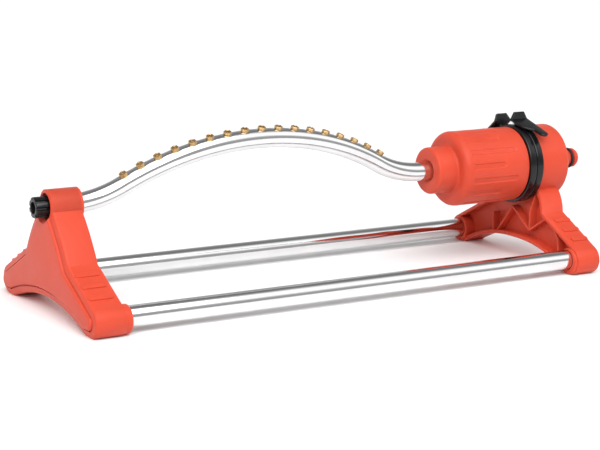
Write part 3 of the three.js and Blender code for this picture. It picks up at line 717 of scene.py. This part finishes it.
def arch_point(angle):
    """A point of the spray tube's arch, `angle` from its crown."""
    x = ARCH_X + ARCH_R * math.sin(angle)
    z = AXIS_Z + ARCH_RISE - ARCH_R + ARCH_R * math.cos(angle)
    return (x, 0.0, z)


def spray_side(x_end, x_bend, side):
    """From an end of the tube up to its arch; `side` is 1 on the left and -1 on the right."""
    line = []
    for i in range(STRAIGHT_STEPS):
        x = x_end + (x_bend - x_end) * i / STRAIGHT_STEPS
        line.append(((x, 0.0, AXIS_Z), 0.0, None))
    for i in range(BEND_STEPS):
        a = ARCH_HALF * i / BEND_STEPS
        x = x_bend + side * ARCH_END_R * math.sin(a)
        z = AXIS_Z + ARCH_END_R * (1 - math.cos(a))
        line.append(((x, 0.0, z), side * a, None))
    return line


def spray_line():
    """Points (place, angle of the tangent, angle on the arch or None) along the tube."""
    arch = []
    for i in range(ARCH_STEPS + 1):
        a = -ARCH_HALF + 2 * ARCH_HALF * i / ARCH_STEPS
        arch.append((arch_point(a), -a, a))
    left = spray_side(SPRAY.x0, ARCH_X - ARCH_SPAN, 1)
    right = spray_side(SPRAY.x1, ARCH_X + ARCH_SPAN, -1)
    return left + arch + right[::-1]


def seat_depth(angle):
    """How far the top of the tube is pressed flat, by distance to the nearest nozzle."""
    if angle is None:
        return 0.0
    nearest = min(abs(angle - k * NOZZLE_PITCH) for k in NOZZLE_PLACES) * ARCH_R
    return SEAT_DEPTH * (1 - smooth_step(nearest / SEAT_HALF))


def spray_ring(place, tilt, depth, radius):
    """One ring round the tube, with its top `depth` lower than the full circle."""
    ring = []
    for i in range(SPRAY_SEGMENTS):
        a = 2 * PI * i / SPRAY_SEGMENTS
        across, up = radius * math.cos(a), radius * math.sin(a)
        up = min(up, radius - depth)
        ring.append((place[0] - up * math.sin(tilt), across, place[2] + up * math.cos(tilt)))
    return ring


def spray_tube():
    line = spray_line()
    outer = [spray_ring(p, t, seat_depth(a), SPRAY_R) for p, t, a in line]
    inner = [spray_ring(p, t, seat_depth(a), SPRAY_R - SPRAY_WALL) for p, t, a in line]
    tube = rings_to_mesh("spray_tube_polished", outer + inner[::-1] + outer[:1], capped=False)
    swing(tube)
    as_piece(tube, "spray_arm", "spray_tube", "polished_tube")


NOZZLE_FLAT_R = 2.85
NOZZLE_TOP = 9.85
NOZZLE_BASE = SPRAY_R - SEAT_DEPTH + 0.02


def nozzle(place, number):
    """A hexagonal brass jet with a dished top, on the seat pressed into the tube."""
    corner = NOZZLE_FLAT_R / math.cos(PI / 6)
    hexagon = rounded([(*polar(corner, PI / 2 + PI / 3 * i), 0.35) for i in range(6)], 3)
    directions = [polar(1.0, math.atan2(y, x)) for x, y in hexagon]

    def circle(radius, height):
        return [(radius * x, radius * y, height) for x, y in directions]

    def flats(distance, height):
        return [(x, y, height) for x, y in inset(hexagon, distance)]

    rings = [
        circle(1.9, NOZZLE_BASE - 1.5),
        circle(1.9, NOZZLE_BASE),
        circle(2.85, NOZZLE_BASE),
        circle(2.95, NOZZLE_BASE + 0.12),
        circle(2.95, NOZZLE_BASE + 0.5),
        circle(2.7, NOZZLE_BASE + 0.65),
        flats(0.12, NOZZLE_BASE + 0.7),
        flats(0, NOZZLE_BASE + 0.85),
        flats(0, NOZZLE_TOP - 0.4),
        flats(0.15, NOZZLE_TOP - 0.12),
        circle(2.45, NOZZLE_TOP),
        circle(1.75, NOZZLE_TOP),
        circle(1.6, NOZZLE_TOP - 0.15),
        circle(1.45, NOZZLE_TOP - 1.3),
        circle(0.9, NOZZLE_TOP - 1.4),
        circle(0.8, NOZZLE_TOP - 1.6),
        circle(0.8, NOZZLE_BASE - 1.5),
    ]
    jet = rings_to_mesh(f"jet_{number:02d}", rings + rings[:1], capped=False)
    angle = place * NOZZLE_PITCH
    on_arch = Matrix.Translation(arch_point(angle)) @ Matrix.Rotation(angle, 4, "Y")
    jet.data.transform(on_arch)
    swing(jet)
    as_piece(jet, "spray_arm", f"nozzle_{number:02d}", "brass", 28)


# ---------------------------------------------------------------- end plug and bush
PLUG_R = 7.85
PLUG_NOTCH = 1.6
PLUG_LOBES = 8
LOBE_STEPS = 18
NOTCH_HALF = 0.2
PLUG_HEAD = 17.6
PLUG_HOLE_R = 4.35
PLUG_STEM_R = 6.2
PLUG_GROOVE_R = 5.2
NEEDLE_R = 1.0
CENTRE_R = 0.4


def lobed(radius, share):
    """A circle with notches between the lobes; `share` is how much of their depth it has."""
    points = []
    count = PLUG_LOBES * LOBE_STEPS
    for i in range(count):
        phase = (i % LOBE_STEPS) / LOBE_STEPS - 0.5
        notch = max(0.0, 1 - (abs(phase) / NOTCH_HALF) ** 3) ** 0.5
        angle = 2 * PI * i / count + PI / PLUG_LOBES
        points.append(polar(radius - share * PLUG_NOTCH * notch, angle, 0, AXIS_Z))
    return points


def end_plug():
    x0 = PLUG.x0
    x1 = PLUG.x0 + PLUG_HEAD
    # (x, radius, share of the notches), from the hole in the head round to the stem's end.
    stations = [
        (x0 + 9, CENTRE_R, 0),
        (x0 + 9, PLUG_HOLE_R - 0.5, 0),
        (x0 + 8.6, PLUG_HOLE_R - 0.2, 0),
        (x0 + 1.2, PLUG_HOLE_R - 0.1, 0),
        (x0 + 0.3, PLUG_HOLE_R + 0.1, 0),
        (x0, PLUG_HOLE_R + 0.5, 0),
        (x0, PLUG_R - 0.9, 0.8),
        (x0 + 0.1, PLUG_R - 0.45, 0.9),
        (x0 + 0.4, PLUG_R - 0.12, 1),
        (x0 + 0.8, PLUG_R, 1),
        (x1 - 3.0, PLUG_R, 1),
        (x1 - 2.4, PLUG_R, 0.3),
        (x1 - 2.2, PLUG_R, 0),
        (x1 - 0.4, PLUG_R, 0),
        (x1, PLUG_R - 0.4, 0),
        (x1, PLUG_STEM_R, 0),
        (x0 + 22.6, PLUG_STEM_R, 0),
        (x0 + 22.6, PLUG_GROOVE_R, 0),
        (x0 + 25.4, PLUG_GROOVE_R, 0),
        (x0 + 25.4, PLUG_STEM_R, 0),
        (PLUG.x1 - 0.8, PLUG_STEM_R, 0),
        (PLUG.x1, PLUG_STEM_R - 0.8, 0),
        (PLUG.x1, NEEDLE_R, 0),
        (x0 + 29, NEEDLE_R, 0),
        (x0 + 29, CENTRE_R, 0),
    ]
    rings = [[(x, y, z) for y, z in lobed(radius, share)] for x, radius, share in stations]
    plug = rings_to_mesh("end_plug_knob", rings + rings[:1], capped=False)
    as_piece(plug, "end_plug", "end_plug", "black_plastic")


def left_bush():
    bush = Span("left_bush")
    outer = (bush.z1 - bush.z0) / 2
    profile = rectangle(bush.x0, bush.x1, SPRAY_R + 0.3, outer, 0.2, 0.3, 3)
    as_piece(lathe("left_bush_turned", profile, 72), "base", "left_bush", "white_plastic")


# ---------------------------------------------------------------- drive housing
HOUSING_R = (HOUSING.z1 - HOUSING.z0) / 2
NECK_R = 19.5
LIP_R = 7.95
LIP_EDGE_R = 10.2
SEAL_ROOM_R = 9.5
TUBE_HOLE_R = 8.3
HUB_R = 11
NECK_ROOM_R = 16.8
GEAR_ROOM_R = 26
REAR_ROOM_R = 28.5
SHOULDER = HOUSING.x0 + 18.5
FLUTES = 16
FLUTE_FIRST = math.radians(-10) - PI / 2
FLUTE_PITCH = 2 * PI / FLUTES
FLUTE_HALF = 2.5
FLUTE_DEPTH = 0.65
FLUTE_SOFT = 0.8
FLUTE_RUN_IN = 1.2
FLUTE_START = HOUSING.x0 + 26.0
# Long and short flutes take turns.
FLUTE_ENDS = (HOUSING.x0 + 59.0, HOUSING.x0 + 72.0)
GRID_STEP = 0.55
SEAL_X = (HOUSING.x0 + 1.8, HOUSING.x0 + 3.1)
SEAL_R = (7.8, 9.3)


def flute_depth(x, offset, end):
    """Depth of one flute at x, `offset` millimetres round from its middle."""
    across = FLUTE_HALF - abs(offset)
    middle_of_round = end - FLUTE_HALF
    if x > middle_of_round:
        across = FLUTE_HALF - math.hypot(x - middle_of_round, offset)
    run_in = smooth_step((x - FLUTE_START) / FLUTE_RUN_IN)
    return FLUTE_DEPTH * smooth_step(across / FLUTE_SOFT) * run_in


def housing_profile():
    """From the lip over the outside, finely divided where the flutes are, then the inside."""
    x = HOUSING.x0
    shape = rounded([
        (x + 1.2, LIP_R, 0.1),
        (x, LIP_EDGE_R, 0.6),
        (x, NECK_R - 0.3, 2.2),
        (SHOULDER, NECK_R, 2.0),
        (SHOULDER + 0.4, HOUSING_R, 6.2),
        (HOUSING.x1, HOUSING_R, 0.5),
        (HOUSING.x1, REAR_ROOM_R, 0.2),
        (x + 40, REAR_ROOM_R, 0),
        (x + 40, GEAR_ROOM_R, 0),
        (x + 23, GEAR_ROOM_R, 0),
        (x + 23, NECK_ROOM_R, 0),
        (x + 6, NECK_ROOM_R, 0),
        (x + 6, HUB_R, 0),
        (x + 18, HUB_R, 0),
        (x + 18, TUBE_HOLE_R, 0),
        (x + 3.2, TUBE_HOLE_R, 0),
        (x + 3.2, SEAL_ROOM_R, 0),
        (x + 1.6, SEAL_ROOM_R, 0),
        (x + 1.6, LIP_R, 0),
    ], 10)
    profile = []
    for (xa, ra), (xb, rb) in zip(shape, shape[1:] + shape[:1]):
        profile.append((xa, ra))
        on_side = abs(ra - HOUSING_R) < 0.05 and abs(rb - HOUSING_R) < 0.3 and xb - xa > 10
        if on_side:
            fine = np.arange(FLUTE_START - 1, FLUTE_ENDS[1] + 1, GRID_STEP)
            profile += [(xv, HOUSING_R) for xv in fine]
    return profile


def housing_angles():
    """(angle, number of the flute or None): 17 places across each flute and 4 to the next."""
    half = (FLUTE_HALF + 0.3) / HOUSING_R
    rest = FLUTE_PITCH - 2 * half
    angles = []
    for k in range(FLUTES):
        middle = FLUTE_FIRST + k * FLUTE_PITCH
        angles += [(middle + half * (i / 8 - 1), k) for i in range(17)]
        angles += [(middle + half + rest * (i + 1) / 5, None) for i in range(4)]
    return angles


def drive_housing():
    """The outside is a fine grid that carries the flutes; the inside follows the CAD part."""
    profile = housing_profile()
    rings = []
    for angle, k in housing_angles():
        ring = []
        for x, radius in profile:
            if k is not None and abs(radius - HOUSING_R) < 0.01:
                offset = (angle - FLUTE_FIRST - k * FLUTE_PITCH) * HOUSING_R
                radius -= flute_depth(x, offset, FLUTE_ENDS[k % 2])
            ring.append((x, *polar(radius, angle, 0.0, AXIS_Z)))
        rings.append(ring)
    housing = rings_to_mesh("drive_housing_shell", rings + rings[:1], capped=False)
    as_piece(housing, "spray_arm", "drive_housing", "red_plastic", 40)


def tube_seal():
    """The seal between neck and spray tube, in its groove behind the lip."""
    ring = lathe("tube_lip_seal", rectangle(*SEAL_X, *SEAL_R, 0.3, 0.3, 3), 72)
    as_piece(ring, "spray_arm", "tube_seal", "rubber")


# ---------------------------------------------------------------- limiter rings
RING_HALF = 3.2
RING_R = 33.0
RING_INNER_R = 28.9
FIN_BASE_R = 37.0
FIN_TOP_R = 43.3
FIN_BASE_HALF = 8.4
FIN_TOP_HALF = 4.8
FIN_T = 2.4
FIN_EDGE = 0.45
RIDGES = 3
RIDGE_FIRST = 1.6
RIDGE_PITCH = 1.5
RIDGE_TAPER = 0.95 * 0.57
RIDGE_HALF = 0.3
RIDGE_T = 0.75
RIDGE_SUNK = 0.4
WING_TOP_R = 37.8
WING_T = 2.2
WING_EDGE = 0.8
WING_SLOPE = math.radians(17)
TONGUE_R = 3.9
TONGUE_Y = 29.6
LUG_HALF = 2
LUG_T = 3.4
LUG_ANGLE = math.radians(15)
BACK_RING_TILT = math.radians(-21.3)


def wing_outline():
    """The wing from above: full width by the fin, narrowing to a tongue at its -X side."""
    start = (FIN_BASE_HALF, 9.0)
    bend = (FIN_BASE_HALF - 1, 18.0)
    end = (2 * TONGUE_R - FIN_BASE_HALF, 22.0)
    points = [(-FIN_BASE_HALF, -0.8), (FIN_BASE_HALF, -0.8)] + curve(start, bend, end, 12)
    return points + arc(TONGUE_R, 0, PI, 16, TONGUE_R - FIN_BASE_HALF, TONGUE_Y)


def fin_outline():
    """The upright fin seen along Y, as (x, radius)."""
    return rounded([
        (-RING_HALF, 31.5, 0),
        (RING_HALF, 31.5, 0),
        (RING_HALF, RING_R + 0.7, 0.8),
        (FIN_BASE_HALF, FIN_BASE_R, 0.9),
        (FIN_TOP_HALF, FIN_TOP_R, 0.7),
        (-FIN_TOP_HALF, FIN_TOP_R, 0.7),
        (-FIN_BASE_HALF, FIN_BASE_R, 0.9),
        (-RING_HALF, RING_R + 0.7, 0.8),
    ], 4)


def fin_ridges():
    """Thin bars across both faces of the fin."""
    for k in range(RIDGES):
        up = RIDGE_FIRST + RIDGE_PITCH * k
        half = FIN_BASE_HALF - RIDGE_FIRST - RIDGE_TAPER * up
        bar = rectangle(-half, half, -RIDGE_HALF, RIDGE_HALF, 0, 0)
        for side in BOTH_SIDES:
            place = Matrix.Translation((0, side * (FIN_T / 2 - RIDGE_SUNK), FIN_BASE_R + up))
            side_on = Matrix.Rotation(-side * PI / 2, 4, "X")
            yield plate("ridge", bar, RIDGE_T, 0.14, place @ side_on)


def limit_ring(node, facing, tilt):
    """A ring with its fin and wing at the top; `facing` turns it round, `tilt` along its travel."""
    profile = rectangle(-RING_HALF, RING_HALF, RING_INNER_R, RING_R, 0.4, 1.0, 5)
    ring = lathe(node + "_moulded", profile, 144, 0, 0)
    down = Matrix.Translation((0, 0, WING_TOP_R - WING_T)) @ Matrix.Rotation(-WING_SLOPE, 4, "X")
    join(ring, plate("wing", wing_outline(), WING_T, WING_EDGE, down))
    upright = Matrix.Translation((0, FIN_T / 2, 0)) @ Matrix.Rotation(PI / 2, 4, "X")
    join(ring, plate("fin", fin_outline(), FIN_T, FIN_EDGE, upright))
    join(ring, *fin_ridges())
    lug = rectangle(-RING_HALF, RING_HALF, -LUG_HALF, LUG_HALF, 0.3, 0.3)
    inwards = Matrix.Rotation(LUG_ANGLE, 4, "X") @ Matrix.Translation((0, 0, -RING_R + 2))
    join(ring, plate("lug", lug, LUG_T, 0.3, inwards))
    # The fin is the widest part along X, and reaches as far to both sides.
    middle = Span(node).x0 + FIN_BASE_HALF
    turned = Matrix.Rotation(tilt, 4, "X") @ Matrix.Rotation(facing, 4, "Z")
    ring.data.transform(Matrix.Translation((middle, 0, AXIS_Z)) @ turned)
    as_piece(ring, node, node, "black_plastic", 34)


# ---------------------------------------------------------------- hose inlet
FLANGE_R = 12
STEM_R = 7.9
NIPPLE_R = 7.8
CLAW_GROOVE_R = 6.4
SEAL_GROOVE_R = 6.6
SEAL_MIDDLE_R = 7.85
INLET_END_R = 8.1
INLET_BORE_R = 5


def inlet_connector():
    x = INLET.x0
    profile = rounded([
        (x, INLET_BORE_R, 0),
        (x, FLANGE_R, 0.3),
        (x + 4.1, FLANGE_R, 0.3),
        (x + 4.1, STEM_R, 0),
        (x + 14.6, STEM_R, 0.4),
        (x + 15.3, CLAW_GROOVE_R, 0.4),
        (x + 19.0, CLAW_GROOVE_R, 0.4),
        (x + 20.0, NIPPLE_R, 0.4),
        (x + 26.1, NIPPLE_R, 0.3),
        (x + 26.1, SEAL_GROOVE_R, 0.2),
        (x + 30.5, SEAL_GROOVE_R, 0.2),
        (x + 30.5, INLET_END_R, 0.3),
        (x + 33.0, INLET_END_R, 0.6),
        (INLET.x1, 6.4, 0.5),
        (INLET.x1, INLET_BORE_R, 0.3),
    ], 5)
    nipple = lathe("inlet_nipple", profile, 72)
    as_piece(nipple, "base", "inlet_connector", "red_plastic")


def inlet_seal():
    radius = (SEAL.x1 - SEAL.x0) / 2
    profile = arc(radius, 0, 2 * PI, 20, (SEAL.x0 + SEAL.x1) / 2, SEAL_MIDDLE_R)[:-1]
    as_piece(lathe("inlet_o_ring", profile, 72), "base", "inlet_seal", "rubber")


# ---------------------------------------------------------------- build
left_frame()
right_frame()
base_tube(-1, "base_tube_front")
base_tube(1, "base_tube_back")
spray_tube()
for number, place in enumerate(NOZZLE_PLACES, start=1):
    nozzle(place, number)
end_plug()
left_bush()
drive_housing()
tube_seal()
limit_ring("limit_ring_front", PI, 0.0)
limit_ring("limit_ring_back", 0.0, BACK_RING_TILT)
inlet_connector()
inlet_seal()

# ---------------------------------------------------------------- camera
CAMERA_PLACE = (-0.7316, -1.2098, 0.3297)
CAMERA_LOOK = Vector((0.4949, 0.8462, -0.1974))
CAMERA_ROLL = math.radians(-0.451)
SENSOR_WIDTH = 36.0
LENS = 108.1


def new_object(name, data):
    """A camera or a light, which turns by quaternion."""
    thing = bpy.data.objects.new(name, data)
    bpy.context.scene.collection.objects.link(thing)
    thing.rotation_mode = "QUATERNION"
    return thing


camera_data = bpy.data.cameras.new("camera")
camera_data.sensor_width = SENSOR_WIDTH
camera_data.lens = LENS
camera_data.clip_end = 20
camera = new_object("camera", camera_data)
camera.location = CAMERA_PLACE
level = CAMERA_LOOK.to_track_quat("-Z", "Y")
roll = Matrix.Rotation(CAMERA_ROLL, 4, CAMERA_LOOK.normalized()).to_quaternion()
camera.rotation_quaternion = roll @ level
bpy.context.scene.camera = camera

# ---------------------------------------------------------------- floor and light
FLOOR_HALF = 3.0
SUN_POWER = 1.6
SUN_ANGLE = math.radians(70)
SUN_LOOK = Vector((0.25, 0.55, -0.85))
SOFTBOX_PLACE = Vector((-0.7, -1.2, 1.2))
SOFTBOX_TARGET = Vector((0, 0, 0.05))
SOFTBOX_SIZE = (1.8, 0.9)
SOFTBOX_POWER = 17

# Brightness of the room by degrees round from the front horizon, up and over to the back.
ROOM = [
    (-180, 0.8),
    (-10, 0.8),
    (2, 0.4),
    (22, 0.44),
    (40, 1.4),
    (62, 1.4),
    (76, 1.0),
    (88, 0.32),
    (104, 0.2),
    (118, 0.26),
    (134, 0.34),
    (148, 0.44),
    (160, 0.85),
    (180, 0.9),
]


def floor():
    n = Nodes("studio_floor")
    tone = n.ramp(n.noise(*FLOOR_TONE), (0.3, grey(0.92)), (0.7, grey(0.94)))
    n.feed("Base Color", tone)
    n.set(Roughness=0.9)
    h = FLOOR_HALF
    ground = new_mesh("floor", [(-h, -h, 0), (h, -h, 0), (h, h, 0), (-h, h, 0)], [(0, 1, 2, 3)])
    ground.data.materials.append(n.material)


def studio():
    """White for the camera; for light and reflections a pale room with darker stretches."""
    world = bpy.data.worlds.new("studio")
    bpy.context.scene.world = world
    world.use_nodes = True
    tree = world.node_tree
    background = tree.nodes["Background"]

    def calculation(operation, first, second):
        node = tree.nodes.new("ShaderNodeMath")
        node.operation = operation
        for value, socket in ((first, node.inputs[0]), (second, node.inputs[1])):
            if isinstance(value, float):
                socket.default_value = value
            else:
                tree.links.new(value, socket)
        return node.outputs["Value"]

    direction = tree.nodes.new("ShaderNodeTexCoord").outputs["Generated"]
    split = tree.nodes.new("ShaderNodeSeparateXYZ")
    tree.links.new(direction, split.inputs["Vector"])
    to_front = calculation("MULTIPLY", split.outputs["Y"], -1.0)
    angle = calculation("ARCTAN2", split.outputs["Z"], to_front)
    turn = calculation("MULTIPLY", angle, 0.5 / PI)
    ramp = tree.nodes.new("ShaderNodeValToRGB")
    fill_ramp(ramp, [(degrees / 360 + 0.5, grey(value)) for degrees, value in ROOM])
    tree.links.new(calculation("ADD", turn, 0.5), ramp.inputs["Fac"])
    ray = tree.nodes.new("ShaderNodeLightPath")
    mix = tree.nodes.new("ShaderNodeMixRGB")
    mix.inputs["Color2"].default_value = (1.0, 1.0, 1.0, 1)
    tree.links.new(ray.outputs["Is Camera Ray"], mix.inputs["Fac"])
    tree.links.new(ramp.outputs["Color"], mix.inputs["Color1"])
    tree.links.new(mix.outputs["Color"], background.inputs["Color"])
    background.inputs["Strength"].default_value = 1.0


def sun():
    data = bpy.data.lights.new("sun", "SUN")
    data.energy = SUN_POWER
    data.angle = SUN_ANGLE
    light = new_object("sun", data)
    light.rotation_quaternion = SUN_LOOK.to_track_quat("-Z", "Y")


def softbox():
    data = bpy.data.lights.new("softbox", "AREA")
    data.shape = "RECTANGLE"
    data.size, data.size_y = SOFTBOX_SIZE
    data.energy = SOFTBOX_POWER
    light = new_object("softbox", data)
    light.location = SOFTBOX_PLACE
    light.rotation_quaternion = (SOFTBOX_TARGET - SOFTBOX_PLACE).to_track_quat("-Z", "Y")


floor()
studio()
sun()
softbox()
bpy.context.scene.view_settings.view_transform = "Standard"
bpy.context.scene.view_settings.look = "None"
